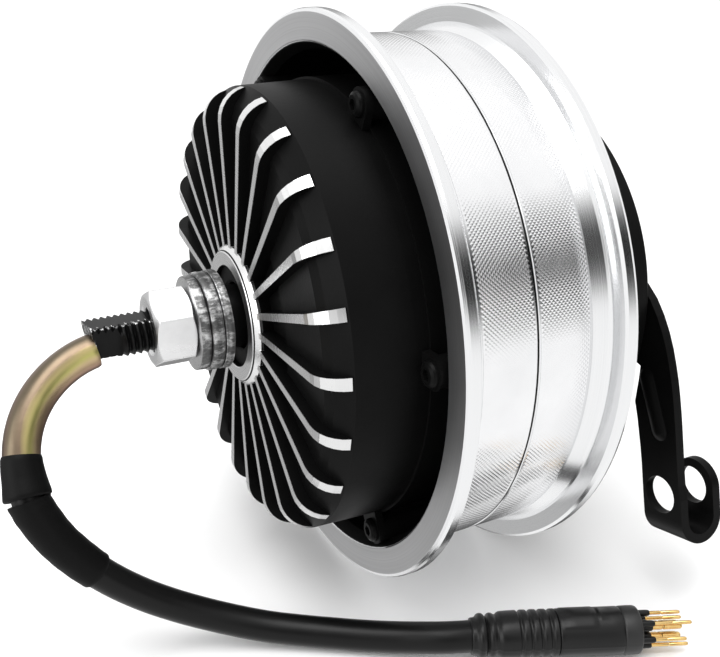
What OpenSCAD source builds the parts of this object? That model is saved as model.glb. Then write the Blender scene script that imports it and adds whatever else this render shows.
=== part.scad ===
// Hub motor wheel: a direct-drive wheel motor on a hollow threaded axle, with a
// finned cover on the cable side and a drum brake with a clevis arm on the other.
// Frame: millimetres, +Z up, origin at the wheel's centre. The axle lies along Y,
// the cable side faces -Y and the brake side faces +Y.

/* [Parts] */
// which part to draw

/* [Rim] */
// outer radius of both rim flanges
flange_r = 91.2; // [90.6:0.2:93]
// radius of the barrel that the tyre sits on
barrel_r = 83.2; // [82.8:0.1:84]
// width of the rim over both flanges
rim_w = 53.8; // [53:0.2:56]
// thickness of each rolled lip
lip_t = 4.4; // [4:0.1:5]
// number of webs between the barrel and the motor shell
web_count = 6; // [5:1:8]
// thickness of a web
web_t = 6; // [5:0.5:8]

/* [Finned cover] */
// number of cooling fins
fin_count = 24; // [18:1:28]
// width of a fin at the hub
fin_w_hub = 1.9; // [1.5:0.1:2.2]
// width of a fin at its outer end
fin_w_end = 3.8; // [3:0.1:4.4]
// distance of the fin tops from the wheel's middle
fin_face = 55.5; // [54.5:0.5:57]
// outer radius of the finned shoulder
cover_r = 69.8; // [69.4:0.1:70.2]

/* [Axle] */
// radius of the M14 thread
thread_r = 7; // [6.8:0.1:7]
// pitch of the thread
pitch = 2; // [1.5:0.5:2]
// half the distance across the two flats
flat_h = 5; // [4.8:0.1:5.4]
// distance of the cable end from the wheel's middle
axle_left = 99.6; // [98:0.2:104]
// distance of the brake end from the wheel's middle
axle_right = 92; // [86:1:100]

/* [Motor] */
// number of stator teeth
tooth_count = 27; // [24:3:27]
// number of magnets
magnet_count = 30; // [28:2:32]
// outer radius of the stator
stator_r = 58.4; // [57.8:0.1:58.6]

/* [Brake] */
// inner radius of the brake drum
drum_r = 54; // [54:0.1:54.4]
// outer radius of the brake linings
lining_r = 53.2; // [52.6:0.1:53.2]
// outer radius of the backing plate
plate_r = 62; // [61.5:0.5:63]
// width of the brake arm's strap
arm_w = 16.4; // [15.6:0.1:17]
// radius of the two clevis holes
arm_hole_r = 6.1; // [5:0.1:6.2]
// gap between the clevis ears
clevis_gap = 10.6; // [10:0.2:11.4]

/* [Cable] */
// outer radius of the cable
cable_r = 4.7; // [4:0.1:4.7]
// outer radius of the steel cable tube
tube_r = 5.2; // [5:0.1:5.2]
// outer radius of the plug's shell
plug_r = 7.25; // [6.8:0.05:7.25]

/* [Hidden] */
$fn = 64;

half_w = rim_w / 2;
shell_r = 71.2;          // outside of the motor shell in the rim
shell_in = 66;           // inside of the motor shell
web_a0 = 4.4;            // angle of the first web
bolt_pcr = 75.5;         // bolts through the webs
bolt_r = 2.5;
shoulder_y = -60.4;      // washers rest on the axle's shoulder
plate_y = 54.5;          // backing plate rests on the other shoulder
anchor_x = 42;           // shoes pivot here
cam_x = -42;
arm_y = 58;              // arm lies on the backing plate's outer face
arm_t = 3;
hole_x = 76.4;           // clevis hole
hole_z = -54.5;
rivet_x = 52;            // rivets between the arm and the backing plate
rivet_z = 8;
arm_lean = 14.5;         // lean of the arm's leg

// cable route: it leaves the steel tube, comes down beside the wheel and lies along the floor
tube_dir = 34;           // direction in which the tube drops, from straight down towards +X
tube_bend = 32;          // bend radius of the tube
tube_start = 11;         // angle at which the tube leaves the axle
tube_below = 3.2;        // and how far its centre is below the axle's there
tube_drop = 35.2;        // how far below the axle the tube ends
tube_out = tube_bend * (1 - sin(tube_start));
tube_low = tube_below + tube_bend * cos(tube_start);
function drop_pt(w) = [w * sin(tube_dir), -axle_left - tube_out, -w * cos(tube_dir)];
sleeve_low = 41.2;        // how far below the axle the short sleeve ends
route = [drop_pt(tube_drop), drop_pt(40), [24.6, -124.5, -37.4], [28.1, -120.2, -45.9], [30.6, -114, -54.2],
         [32.1, -107, -61.8], [33.3, -99.3, -68.6], [34.9, -91.1, -74.3], [37.3, -82.4, -79],
             [40.6, -73.6, -82.6],
         [44.8, -64.8, -85], [49.7, -55.9, -86.1], [55.1, -47.1, -86.45], [60.6, -38.5, -86.45],
             [66.3, -30, -85.8],
         [73.7, -19.9, -84], [76.8, -12.5, -83.95]];
plug_at = route[len(route) - 1];
plug_dir = 67;

// ---------- helpers ----------
// turns a profile of [radius, Y] points about the axle
module lathe(pts) rotate([-90, 0, 0]) rotate_extrude() polygon(pts);
// cylinder along Y from y0 to y1
module cyl(r, y0, y1) translate([0, y0, 0]) rotate([-90, 0, 0]) cylinder(h = y1 - y0, r = r);
// places children at angle a from +X towards +Z
module at_angle(a) rotate([0, -a, 0]) children();
module at_xz(x, z) translate([x, 0, z]) children();
// hexagonal bar across flats af, one corner at angle a
module hex(af, y0, y1, a) translate([0, y0, 0]) rotate([-90, 0, 0]) rotate([0, 0, -a])
    cylinder(h = y1 - y0, r = af / sqrt(3), $fn = 6);
// nut with chamfered corners
module nut(af, bore, y0, y1, a) difference() {
    intersection() {
        hex(af, y0, y1, a);
        lathe([[0, y0], [af * 0.47, y0], [af * 0.62, y0 + af * 0.09], [af * 0.62, y1 - af * 0.09],
            [af * 0.47, y1], [0, y1]]);
    }
    cyl(bore, y0 - 1, y1 + 1);
}
// sector of a ring, from angle a0 to a1, for spans up to 180 degrees
module sector(r0, r1, y0, y1, a0, a1) rotate([0, -a0, 0]) rotate([90, 0, 0]) translate([0, 0, -y1])
    rotate_extrude(angle = a1 - a0) translate([r0, 0]) square([r1 - r0, y1 - y0]);
// zigzag profile of a thread, as [radius, Y] points
function thread(y0, y1, r, p) = [for (i = [0 : floor((y1 - y0) / p + 0.001) - 1]) each
    [[r - 1.05, y0 + i * p + 0.1], [r, y0 + i * p + p * 0.45], [r, y0 + i * p + p * 0.6],
        [r - 1.05, y0 + (i + 1) * p - 0.1]]];

// swept tube along points, with an optional hole: rings of n points
function unit(v) = v / norm(v);
function along(p, i) = unit(i == 0 ? p[1] - p[0]
    : i == len(p) - 1 ? p[i] - p[i - 1]
    : unit(p[i + 1] - p[i]) + unit(p[i] - p[i - 1]));
function side(t) = unit(cross(t, abs(t[1]) < 0.9 ? [0, 1, 0] : [1, 0, 0]));
function ring(c, t, r, n) = let (u = side(t), v = cross(t, u)) [for (k = [0 : n - 1])
    c + r * (cos(360 * k / n) * u + sin(360 * k / n) * v)];
// point on the smooth curve through the route, s from 0 to len-1
function cr(p, s) = let (m = len(p) - 1, i = min(floor(s), m - 1), f = s - i,
    a = p[max(i - 1, 0)], b = p[i], c = p[i + 1], d = p[min(i + 2, m)])
    0.5 * (2 * b + (c - a) * f + (2 * a - 5 * b + 4 * c - d) * f * f + (3 * b - a - 3 * c + d) * f * f * f);
function smooth(p, s0, s1, step) = [for (i = [0 : round((s1 - s0) / step)]) cr(p, s0 + i * step)];
function quad(a, b, c, d) = [[a, b, c], [a, c, d]];
module sweep(p, rs, n) {
    m = len(p);
    pts = [for (i = [0 : m - 1]) each ring(p[i], along(p, i), rs[i], n)];
    polyhedron(points = pts, faces = concat(
        [for (k = [1 : n - 2]) [0, k, k + 1]],
        [for (k = [1 : n - 2]) [(m - 1) * n, (m - 1) * n + k + 1, (m - 1) * n + k]],
        [for (i = [0 : m - 2], k = [0 : n - 1]) each quad(i * n + k, (i + 1) * n + k,
            (i + 1) * n + (k + 1) % n, i * n + (k + 1) % n)]));
}
module sweep_hollow(p, ro, ri, n) {
    m = len(p);
    outer = [for (i = [0 : m - 1]) each ring(p[i], along(p, i), ro[i], n)];
    inner = [for (i = [0 : m - 1]) each ring(p[i], along(p, i), ri[i], n)];
    q = m * n;
    polyhedron(points = concat(outer, inner), faces = concat(
        [for (i = [0 : m - 2], k = [0 : n - 1]) each quad(i * n + k, (i + 1) * n + k,
            (i + 1) * n + (k + 1) % n, i * n + (k + 1) % n)],
        [for (i = [0 : m - 2], k = [0 : n - 1]) each quad(q + i * n + k, q + i * n + (k + 1) % n,
            q + (i + 1) * n + (k + 1) % n, q + (i + 1) * n + k)],
        [for (k = [0 : n - 1]) each quad(k, (k + 1) % n, q + (k + 1) % n, q + k)],
        [for (k = [0 : n - 1]) each quad((m - 1) * n + k, q + (m - 1) * n + k,
            q + (m - 1) * n + (k + 1) % n, (m - 1) * n + (k + 1) % n)]));
}
// the tube's bend, from the axle's end to where it hangs straight down
module tube_curve(r) translate([0, -axle_left, 0]) rotate([0, -tube_dir, 0]) translate([0, 0, -tube_below])
    rotate([tube_start, 0, 0])
    translate([0, 0, -tube_bend]) rotate([0, 90, 0]) rotate([0, 0, 180])
        rotate_extrude(angle = 90 - tube_start) translate([tube_bend, 0]) circle(r = r);
// frame of the tube's drop: origin w below the axle, local -Z runs down the tube
module drop_frame(w) translate([0, -axle_left - tube_out, 0]) rotate([0, -tube_dir, 0])
    translate([0, 0, -w]) children();
module plug_frame() translate(plug_at) rotate([0, 0, plug_dir]) rotate([0, 90, 0]) children();

// ---------- axle and what is clamped on it ----------
module axle() color([0.08, 0.08, 0.09]) difference() {
    union() {
        difference() {
            union() {
                lathe(concat([[0, -axle_left - 3], [thread_r - 1.05, -axle_left - 3]],
                    thread(-axle_left - 3, shoulder_y - 0.2, thread_r, pitch),
                    [[thread_r - 1.05, shoulder_y], [0, shoulder_y]]));
                lathe(concat([[0, plate_y], [thread_r - 1.05, plate_y]],
                    thread(plate_y + 7.5, axle_right - 0.5, thread_r, pitch),
                    [[thread_r - 1.05, axle_right], [0, axle_right]]));
                cyl(thread_r, plate_y, plate_y + 7);
            }
            // flats, 0.1 mm deeper where the fork's slot sits
            for (k = [0, 1]) mirror([0, 0, k]) {
                translate([-15, -140, flat_h]) cube([30, 56.8, 10]);
                translate([-15, -83.3, flat_h - 0.1]) cube([30, 83.3 + shoulder_y, 10]);
                translate([-15, 76, flat_h]) cube([30, 40, 10]);
            }
            // milled relief beside the cable's way out
            rotate([0, 10, 0]) {
                translate([4.3, -axle_left - 6, -10]) cube([10, 10.6, 20]);
                translate([9.3, -axle_left + 4.6, -10]) cylinder(h = 20, r = 5);
            }
        }
        lathe([[0, shoulder_y], [9.5, shoulder_y], [10, shoulder_y + 0.5], [10, -38], [12, -38],
            [12.5, -37.5], [12.5, 29.5], [12, 30], [10, 30], [10, plate_y - 0.5], [9.5, plate_y],
            [0, plate_y]]);
    }
    // bore for the leads and its way out to the stator
    cyl(4, -axle_left - 4, -24);
    translate([0, -28, 0]) rotate([0, 90, 0]) cylinder(h = 20, r = 4);
    // cable end cut square to the tube
    translate([0, -axle_left, 0]) rotate([0, -tube_dir, 0]) translate([0, 0, -tube_below])
        rotate([tube_start, 0, 0]) translate([-20, -20, -20]) cube([40, 20, 40]);
}
module cable_side_nut() color([0.93, 0.93, 0.94]) nut(22, 7.02, -83, -70.5, 30);
module washer(r, bore, y0, y1) difference() {
    lathe([[0, y0], [r - 0.4, y0], [r, y0 + 0.4], [r, y1 - 0.4], [r - 0.4, y1], [0, y1]]);
    cyl(bore, y0 - 1, y1 + 1);
}
module lock_washer() color([0.9, 0.9, 0.91]) washer(14.8, 7.1, -70.5, -67.5);
module inner_washer() color([0.8, 0.8, 0.81]) washer(15.4, 7.1, -67.3, -63.5);
module outer_washer() color([0.8, 0.8, 0.81]) washer(15.6, 7.1, -63.3, shoulder_y);

// ---------- stator ----------
module stator_hub() color([0.7, 0.7, 0.72]) difference() {
    lathe([[12.5, -17.5], [18, -17.5], [18, -5], [33, -5], [33, -17.5], [38, -17.5], [38, 17.5], [33, 17.5],
        [33, 5], [18, 5], [18, 17.5], [12.5, 17.5]]);
    for (k = [0 : 5]) at_angle(30 + 60 * k) at_xz(25.5, 0) cyl(5.5, -10, 10);
}
module stator_core() color([0.45, 0.45, 0.48]) union() {
        at_angle(180 / tooth_count) difference() { cyl(45, -17.5, 17.5); cyl(38, -20, 20); }
        for (k = [0 : tooth_count - 1]) at_angle(k * 360 / tooth_count) {
            translate([44, -17.4, -2.5]) cube([13, 34.8, 5]);
            sector(55.5, stator_r, -17.5, 17.5, -164 / tooth_count, 164 / tooth_count);
        }
}
module stator_windings() color([0.72, 0.38, 0.2]) for (k = [0 : tooth_count - 1])
    at_angle(k * 360 / tooth_count) difference() {
    translate([46, -21.5, -4.8]) cube([8.8, 43, 9.6]);
    translate([40, -17.5, -2.5]) cube([20, 35, 5]);
}
module hall_sensor_board() color([0.1, 0.35, 0.18]) sector(46, 57, -23.1, -21.5, -28, 28);
module phase_leads() color([0.75, 0.15, 0.1]) union() {
    cyl(3.6, -95.5, -28);
    translate([0, -28, 0]) rotate([0, 90, 0]) cylinder(h = 52, r = 3.2);
    translate([0, -28, 0]) sphere(r = 3.6);
    translate([51, 0, 0]) cyl(3, -28, -23.1);
}

// ---------- bearings ----------
module inner_race(y) difference() { lathe([[10, y], [13, y], [13.4, y + 0.4], [13.4, y + 3.6],
    [12.9, y + 4.4], [12.9, y + 7.6], [13.4, y + 8.4], [13.4, y + 11.6], [13, y + 12], [10, y + 12]]); }
module outer_race(y) lathe([[21, y], [17.8, y], [17.6, y + 0.4], [17.6, y + 3.6], [18.1, y + 4.4],
    [18.1, y + 7.6], [17.6, y + 8.4], [17.6, y + 11.6], [17.8, y + 12], [21, y + 12]]);
module race_balls(y) for (k = [0 : 8]) at_angle(40 * k) translate([15.85, y + 6, 0]) sphere(r = 2.25);
module left_bearing_inner_race() color([0.8, 0.8, 0.82]) inner_race(-50);
module right_bearing_inner_race() color([0.8, 0.8, 0.82]) inner_race(30);
module left_bearing_outer_race() color([0.8, 0.8, 0.82]) outer_race(-50);
module right_bearing_outer_race() color([0.8, 0.8, 0.82]) outer_race(30);
module left_bearing_balls() color([0.85, 0.85, 0.87]) race_balls(-50);
module right_bearing_balls() color([0.85, 0.85, 0.87]) race_balls(30);

// ---------- rim and rotor ----------
// one half of the rim, from the seam in the middle out to the -Y flange
module rim_half() difference() {
    union() {
        lathe([[79.3, 0], [barrel_r - 0.5, 0], [barrel_r, -0.5], [barrel_r, -17.8],
            [barrel_r + 2.1, -half_w + lip_t + 0.9], [barrel_r + 2.5, -half_w + lip_t],
            [flange_r - 0.8, -half_w + lip_t],
               [flange_r, -half_w + lip_t - 0.7], [flange_r, -half_w + 1.2],
                   [flange_r - 0.35, -half_w + 0.35], [flange_r - 1.2, -half_w], [82, -half_w],
                   [81.2, -half_w + 0.6], [79.3, -half_w + 4]]);
        lathe([[shell_in, 0], [shell_r, 0], [shell_r, -25.5], [shell_in, -25.5]]);
        for (k = [0 : web_count - 1]) at_angle(web_a0 + k * 360 / web_count) {
            translate([shell_r - 1.2, -21.5, -web_t / 2]) cube([79.8 - shell_r + 1.2, 21.5, web_t]);
            at_xz(bolt_pcr, 0) cyl(4.6, -25.5, 0);
        }
    }
    for (k = [0 : web_count - 1]) at_angle(web_a0 + k * 360 / web_count) at_xz(bolt_pcr, 0)
        cyl(bolt_r + 0.2, -30, 1);
}
module rim_left_half() color([0.88, 0.88, 0.9]) rim_half();
module rim_right_half() color([0.88, 0.88, 0.9]) mirror([0, 1, 0]) rim_half();
module rim_bolts() color([0.06, 0.06, 0.07]) for (k = [0 : web_count - 1])
    at_angle(web_a0 + k * 360 / web_count) at_xz(bolt_pcr, 0) difference() {
    union() {
        cyl(bolt_r, -27.9, 28);
        lathe([[0, -29.8], [2.6, -29.8], [3.4, -29.3], [3.7, -28.6], [3.7, -27.9], [0, -27.9]]);
    }
    hex(3, -34, -28.7, 0);
}
module back_iron_ring() color([0.5, 0.5, 0.53]) lathe([[62, -21], [shell_in, -21], [shell_in, 21], [62, 21]]);
module magnets() color([0.62, 0.62, 0.66]) for (k = [0 : magnet_count - 1])
    sector(59.2, 62, -17.5, 17.5, k * 360 / magnet_count, k * 360 / magnet_count + 300 / magnet_count);

// ears that carry the rim bolts
module ears(y0, y1, r) for (k = [0 : web_count - 1]) at_angle(web_a0 + k * 360 / web_count) {
    at_xz(bolt_pcr, 0) cyl(r, y0, y1);
    translate([66.5, y0, -r]) cube([bolt_pcr - 66.5, y1 - y0, 2 * r]);
}
// shoulder on which the fin tops end
fin_arc = 9.8;
fin_a0 = 3.7;            // angle of the first fin
fin_top = concat([[21.5, -fin_face]], [for (a = [-90 : 13 : -12]) [cover_r - fin_arc + fin_arc * cos(a),
    -fin_face + fin_arc + fin_arc * sin(a)]]);
module finned_cover() color([0.07, 0.07, 0.075]) difference() {
    union() {
        lathe([[16.2, -50], [16.2, -56.7], [16.5, -57], [20.4, -57], [22.4, -55], [22.4, -50.8],
            [33, -50.8], [35.5, -52], [61, -52], [64.6, -50.9], [cover_r + 0.1, -47.1], [70.4, -29.3],
            [70.4, -25.5], [65.95, -25.5], [65.95, -21.5], [62.6, -21.5], [62.6, -24], [64.6, -28],
            [64, -43], [60, -47], [27, -47], [27, -38], [21, -38], [21, -50]]);
        ears(-27.9, -25.5, 4.7);
        intersection() {
            lathe(concat(fin_top, [[cover_r - 0.6, -46.8], [64, -48.6], [22, -49.6]]));
            for (k = [0 : fin_count - 1]) at_angle(fin_a0 + k * 360 / fin_count) rotate([90, 0, 0])
                linear_extrude(height = 60)
                polygon([[21, -fin_w_hub / 2], [60, -fin_w_hub / 2 - 0.35], [71, -fin_w_end / 2],
                    [71, fin_w_end / 2], [60, fin_w_hub / 2 + 0.35], [21, fin_w_hub / 2]]);
        }
    }
    for (k = [0 : web_count - 1]) at_angle(web_a0 + k * 360 / web_count) at_xz(bolt_pcr, 0)
        cyl(bolt_r + 0.2, -30, -20);
}
module cable_side_seal() color([0.05, 0.05, 0.05]) lathe([[10.6, -54.6], [11.4, -55.2], [16.2, -55.2],
    [16.2, -50.6], [11.8, -50.6], [11.8, -53], [10.6, -53.4]]);

// ---------- brake side ----------
module brake_side_cover() color([0.08, 0.08, 0.085]) difference() {
    union() {
        lathe([[14.2, 27], [60.5, 27], [62.6, 25], [62.6, 21.5], [65.95, 21.5], [65.95, 25.5], [70.4, 25.5],
            [70.4, 29.3], [62, 33.5], [59.5, 34.5], [59.5, 52.5], [56.5, 52.5], [56.5, 36], [54, 36],
            [50, 32], [27, 32], [27, 42], [21, 42], [21, 30], [14.2, 30]]);
        ears(25.5, 28.4, 4.7);
    }
    for (k = [0 : web_count - 1]) at_angle(web_a0 + k * 360 / web_count) at_xz(bolt_pcr, 0)
        cyl(bolt_r, 20, 30);
}
module drum_liner() color([0.42, 0.42, 0.44]) lathe([[drum_r, 36.5], [56.5, 36.5], [56.5, 52.5],
    [drum_r, 52.5]]);
module brake_backing_plate() color([0.07, 0.07, 0.075]) difference() {
    lathe([[6, plate_y], [plate_r - 1.5, plate_y], [plate_r - 1.5, 47], [plate_r, 47],
        [plate_r, arm_y - 1.2], [plate_r - 1.2, arm_y], [6, arm_y]]);
    cyl(thread_r + 0.02, 40, 70);
    at_xz(anchor_x, 0) cyl(4, 40, 70);
    at_xz(cam_x, 0) cyl(6.05, 40, 70);
    for (z = [-rivet_z, rivet_z]) at_xz(rivet_x, z) cyl(2.5, 40, 70);
}
// outline of the arm in the XZ plane, down to the leg on its +X side and back up
arm_down = [[22, 13], [50, 13.5], [57, 10.4], [61.5, 7], [65.2, 2.8], [68.2, -1.6], [70.7, -6.2],
    [72.7, -10.8], [74.5, -15.4],
            [76, -20], [77.4, -24.8], [78.7, -29.6], [79.9, -34.4], [81.1, -39.2], [82.3, -44], [83.4, -48]];
arm_up = [[67.1, -48], [65.7, -43], [64.1, -38], [62.5, -33], [60.6, -28.2], [61, -20], [61, -15.5],
    [55, -14], [22, -13]];
leg_low = 7.5;           // the bend starts this far below the holes
module leg_frame() at_xz(hole_x, hole_z) rotate([0, -arm_lean, 0]) translate([0.7, 0, 0]) children();
function leg_pt(u, v) = [hole_x + (u + 0.7) * cos(arm_lean) - v * sin(arm_lean),
    hole_z + (u + 0.7) * sin(arm_lean) + v * cos(arm_lean)];
module brake_arm() color([0.06, 0.06, 0.065]) difference() {
    union() {
        // plate on the brake's face, and the leg down to the clevis
        translate([0, arm_y + arm_t, 0]) rotate([90, 0, 0]) linear_extrude(height = arm_t)
            polygon(concat(arm_down,
            [leg_pt(arm_w / 2 - 0.03, 0), leg_pt(arm_w / 2 - 0.06, -2), leg_pt(0.06 - arm_w / 2, -2),
                leg_pt(0.03 - arm_w / 2, 0)], arm_up));
        leg_frame() translate([-arm_w / 2, arm_y, -leg_low]) cube([arm_w, arm_t, leg_low]);
        // pressed stiffening rib
        intersection() {
            translate([72.3, arm_y + 3.8, -33.4]) rotate([0, -28, 0]) {
                sphere(r = 5);
                cylinder(h = 17, r = 5);
                translate([0, 0, 17]) sphere(r = 5);
            }
            translate([50, arm_y - 3, -60]) cube([40, 4.5, 60]);
        }
        // bend under the clevis and the outer ear
        leg_frame() {
            translate([-arm_w / 2, arm_y + arm_t + clevis_gap / 2, -leg_low]) rotate([0, 90, 0])
                rotate([0, 0, -90]) rotate_extrude(angle = 180) translate([clevis_gap / 2, 0])
                square([arm_t, arm_w]);
            translate([-arm_w / 2, arm_y + arm_t + clevis_gap, -leg_low]) cube([arm_w, arm_t, leg_low + 0.8]);
            intersection() {
                at_xz(0, 0.8) cyl(arm_w / 2, arm_y + arm_t + clevis_gap, arm_y + 2 * arm_t + clevis_gap);
                translate([-30, 0, 0.8]) cube([60, 100, 30]);
            }
        }
    }
    at_xz(hole_x, hole_z) cyl(arm_hole_r, 50, 90);
    at_xz(anchor_x, 0) cyl(4, 50, 70);
    for (z = [-rivet_z, rivet_z]) at_xz(rivet_x, z) cyl(2.5, 50, 70);
}
module arm_rivets() color([0.1, 0.1, 0.11]) for (z = [-rivet_z, rivet_z]) at_xz(rivet_x, z)
    lathe([[0, plate_y - 1.4], [3.4, plate_y - 1.4], [4, plate_y - 0.8], [4, plate_y], [2.5, plate_y],
        [2.5, arm_y + arm_t], [4.2, arm_y + arm_t], [4, arm_y + arm_t + 0.9], [2.6, arm_y + arm_t + 1.8],
        [0, arm_y + arm_t + 1.8]]);
module anchor_pin() color([0.6, 0.6, 0.62]) at_xz(anchor_x, 0)
    lathe([[0, 38.5], [4.6, 38.5], [5, 38.9], [5, plate_y], [4, plate_y], [4, 69], [3.4, 69.6], [0, 69.6]]);
module anchor_nut() color([0.1, 0.1, 0.11]) at_xz(anchor_x, 0) nut(13, 4, arm_y + arm_t,
    arm_y + arm_t + 6.5, 0);
module brake_side_washer() color([0.8, 0.8, 0.81]) washer(13, 7.1, arm_y, arm_y + 3);
module brake_side_nut() color([0.9, 0.9, 0.91]) nut(22, 7.02, arm_y + 3, arm_y + 15, 20);

// upper shoe; the lower one is its mirror image, with its web beside the upper one's
module shoe(y0) difference() {
    union() {
        sector(38, 47.6, y0, y0 + 3.4, 0, 90);
        intersection() {
            sector(38, 47.6, y0, y0 + 3.4, 89.9, 178);
            translate([-60, 30, 5.4]) cube([80, 30, 60]);
        }
        translate([cam_x - 5, y0, 5.4]) cube([9, 3.4, 6]);
        sector(47.5, 50, 37.5, 51.5, 26, 152);
        at_xz(anchor_x, 0) cyl(8.6, y0, y0 + 3.4);
    }
    at_xz(anchor_x, 0) cyl(5.05, 30, 60);
}
module upper_shoe() color([0.35, 0.35, 0.37]) shoe(41.4);
module lower_shoe() color([0.35, 0.35, 0.37]) mirror([0, 0, 1]) shoe(45.3);
module upper_shoe_lining() color([0.3, 0.24, 0.18]) sector(50, lining_r, 38, 51, 30, 148);
module lower_shoe_lining() color([0.3, 0.24, 0.18]) sector(50, lining_r, 38, 51, 212, 330);
module shoe_return_spring() color([0.6, 0.6, 0.62]) {
    n = 64;
    p = concat([[-31.2, 44.5, -24], [-31.2, 44.5, -19]],
        [for (i = [0 : n]) [-31.2 + 2.2 * cos(i * 360 * 8 / n), 45 + 2.2 * sin(i * 360 * 8 / n),
            -17 + 34 * i / n]],
        [[-31.2, 45.6, 19], [-31.2, 45.6, 24]]);
    sweep(p, [for (q = p) 0.5], 6);
}
module brake_cam() color([0.55, 0.55, 0.57]) at_xz(cam_x, 0) union() {
    translate([-4, 41, -5]) cube([8, 8.2, 10]);
    cyl(6, 49.2, arm_y + 1);
    difference() {
        cyl(5, arm_y + 1, arm_y + 5);
        for (s = [-1, 1]) translate([s * 9, 60, 0]) cube([10, 20, 20], center = true);
    }
    cyl(4, arm_y + 4.9, arm_y + 11);
}
// lever on the cam's square, with an eye for the brake cable
lever_a = 235;
lever_l = 42;
module brake_lever() color([0.12, 0.12, 0.13]) at_xz(cam_x, 0) difference() {
    union() {
        cyl(9, arm_y + 1, arm_y + 5);
        at_angle(lever_a) {
            translate([0, arm_y + 1, -5.5]) cube([lever_l, 4, 11]);
            at_xz(lever_l, 0) cyl(5.5, arm_y + 1, arm_y + 5);
        }
    }
    intersection() {
        cyl(5, 50, 70);
        translate([-4, 50, -10]) cube([8, 20, 20]);
    }
    at_angle(lever_a) at_xz(lever_l, 0) cyl(3, 50, 70);
}
module lever_nut() color([0.85, 0.85, 0.86]) at_xz(cam_x, 0) nut(13, 4, arm_y + 5, arm_y + 10, 10);

// ---------- cable side ----------
module cable_tube() color([0.72, 0.62, 0.42]) union() {
    tube_curve(tube_r);
    drop_frame(tube_drop) cylinder(h = tube_drop - tube_low + 0.4, r = tube_r + 0.05);
}
module tube_sleeve() color([0.05, 0.05, 0.05]) difference() {
    drop_frame(sleeve_low) rotate_extrude() polygon([[0, 0], [6.2, 0], [6.6, 0.5], [6.65, 1.5], [6.45, 4],
        [6.3, 8], [6.25, 11.4], [6.05, 11.8], [0, 11.8]]);
    drop_frame(sleeve_low + 1) cylinder(h = 7.2, r = cable_r + 0.5);
    drop_frame(tube_drop + 0.1) cylinder(h = tube_drop - tube_low + 0.3, r = tube_r + 0.12);
    tube_curve(tube_r + 0.1);
}
module cable_sleeve() color([0.05, 0.05, 0.05]) {
    p = smooth(route, 1.5, 4.5, 0.25);
    m = len(p) - 1;
    sweep_hollow(p, [for (i = [0 : m]) 6 - 0.6 * i / m], [for (i = [0 : m]) cable_r + 0.15], 12);
}
module cable() color([0.06, 0.06, 0.06]) {
    p = smooth(route, 0, 16, 0.4);
    sweep(p, [for (q = p) cable_r], 12);
}
module plug_strain_relief() color([0.08, 0.08, 0.085]) plug_frame() rotate_extrude()
    polygon(concat([[0, 0], [5.1, 0], [5.4, 0.4]],
        [for (i = [0, 1]) each [[5.5, 1.4 + i * 3], [6.3, 2.2 + i * 3], [6.6, 3 + i * 3],
            [6.6, 3.6 + i * 3], [6.3, 4.2 + i * 3]]],
        [[6.1, 8], [6.9, 8.8]],
        [for (i = [0 : 3]) each [[7.1, 14 + i * 3], [6.5, 14.4 + i * 3], [6.5, 15.1 + i * 3],
            [7.1, 15.6 + i * 3]]], [[7.1, 25.6], [6.7, 26], [0, 26]]));
module plug_shell() color([0.1, 0.1, 0.105]) plug_frame() rotate_extrude()
    polygon([[0, 26], [6.7, 26], [plug_r, 26.6], [plug_r, 45.2], [plug_r - 0.3, 45.6], [0, 45.6]]);
module plug_end_band() color([0.2, 0.2, 0.21]) plug_frame() difference() {
    rotate_extrude() polygon([[0, 45.6], [7.1, 45.6], [7.1, 50.4], [6.6, 51], [0, 51]]);
    translate([0, 0, 49]) cylinder(h = 5, r = 5.9);
}
module pin_holes(r3, r6) {
    for (k = [0 : 2]) rotate([0, 0, 90 + 120 * k]) translate([2.1, 0, 49.2]) cylinder(h = 12, r = r3);
    for (k = [0 : 5]) rotate([0, 0, 60 * k + 30]) translate([4.7, 0, 49.2]) cylinder(h = 12, r = r6);
}
module plug_insert() color([0.07, 0.07, 0.07]) plug_frame() difference() {
    union() {
        translate([0, 0, 49]) cylinder(h = 1.6, r = 5.9);
        for (k = [0 : 2]) rotate([0, 0, 90 + 120 * k]) translate([2.1, 0, 49]) cylinder(h = 6.2, r = 1.4);
        for (k = [0 : 5]) rotate([0, 0, 60 * k + 30]) translate([4.7, 0, 49]) cylinder(h = 6.2, r = 0.95);
    }
    pin_holes(1, 0.55);
}
module phase_pins() color([0.85, 0.66, 0.28]) plug_frame() for (k = [0 : 2]) rotate([0, 0, 90 + 120 * k])
    translate([2.1, 0, 49.2]) rotate_extrude() polygon([[0, 0], [1, 0], [1, 14], [0.6, 15], [0, 15]]);
module signal_pins() color([0.85, 0.66, 0.28]) plug_frame() for (k = [0 : 5]) rotate([0, 0, 60 * k + 30])
    translate([4.7, 0, 49.2]) rotate_extrude() polygon([[0, 0], [0.55, 0], [0.55, 16.6], [0.3, 17.3],
    [0, 17.3]]);

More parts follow.
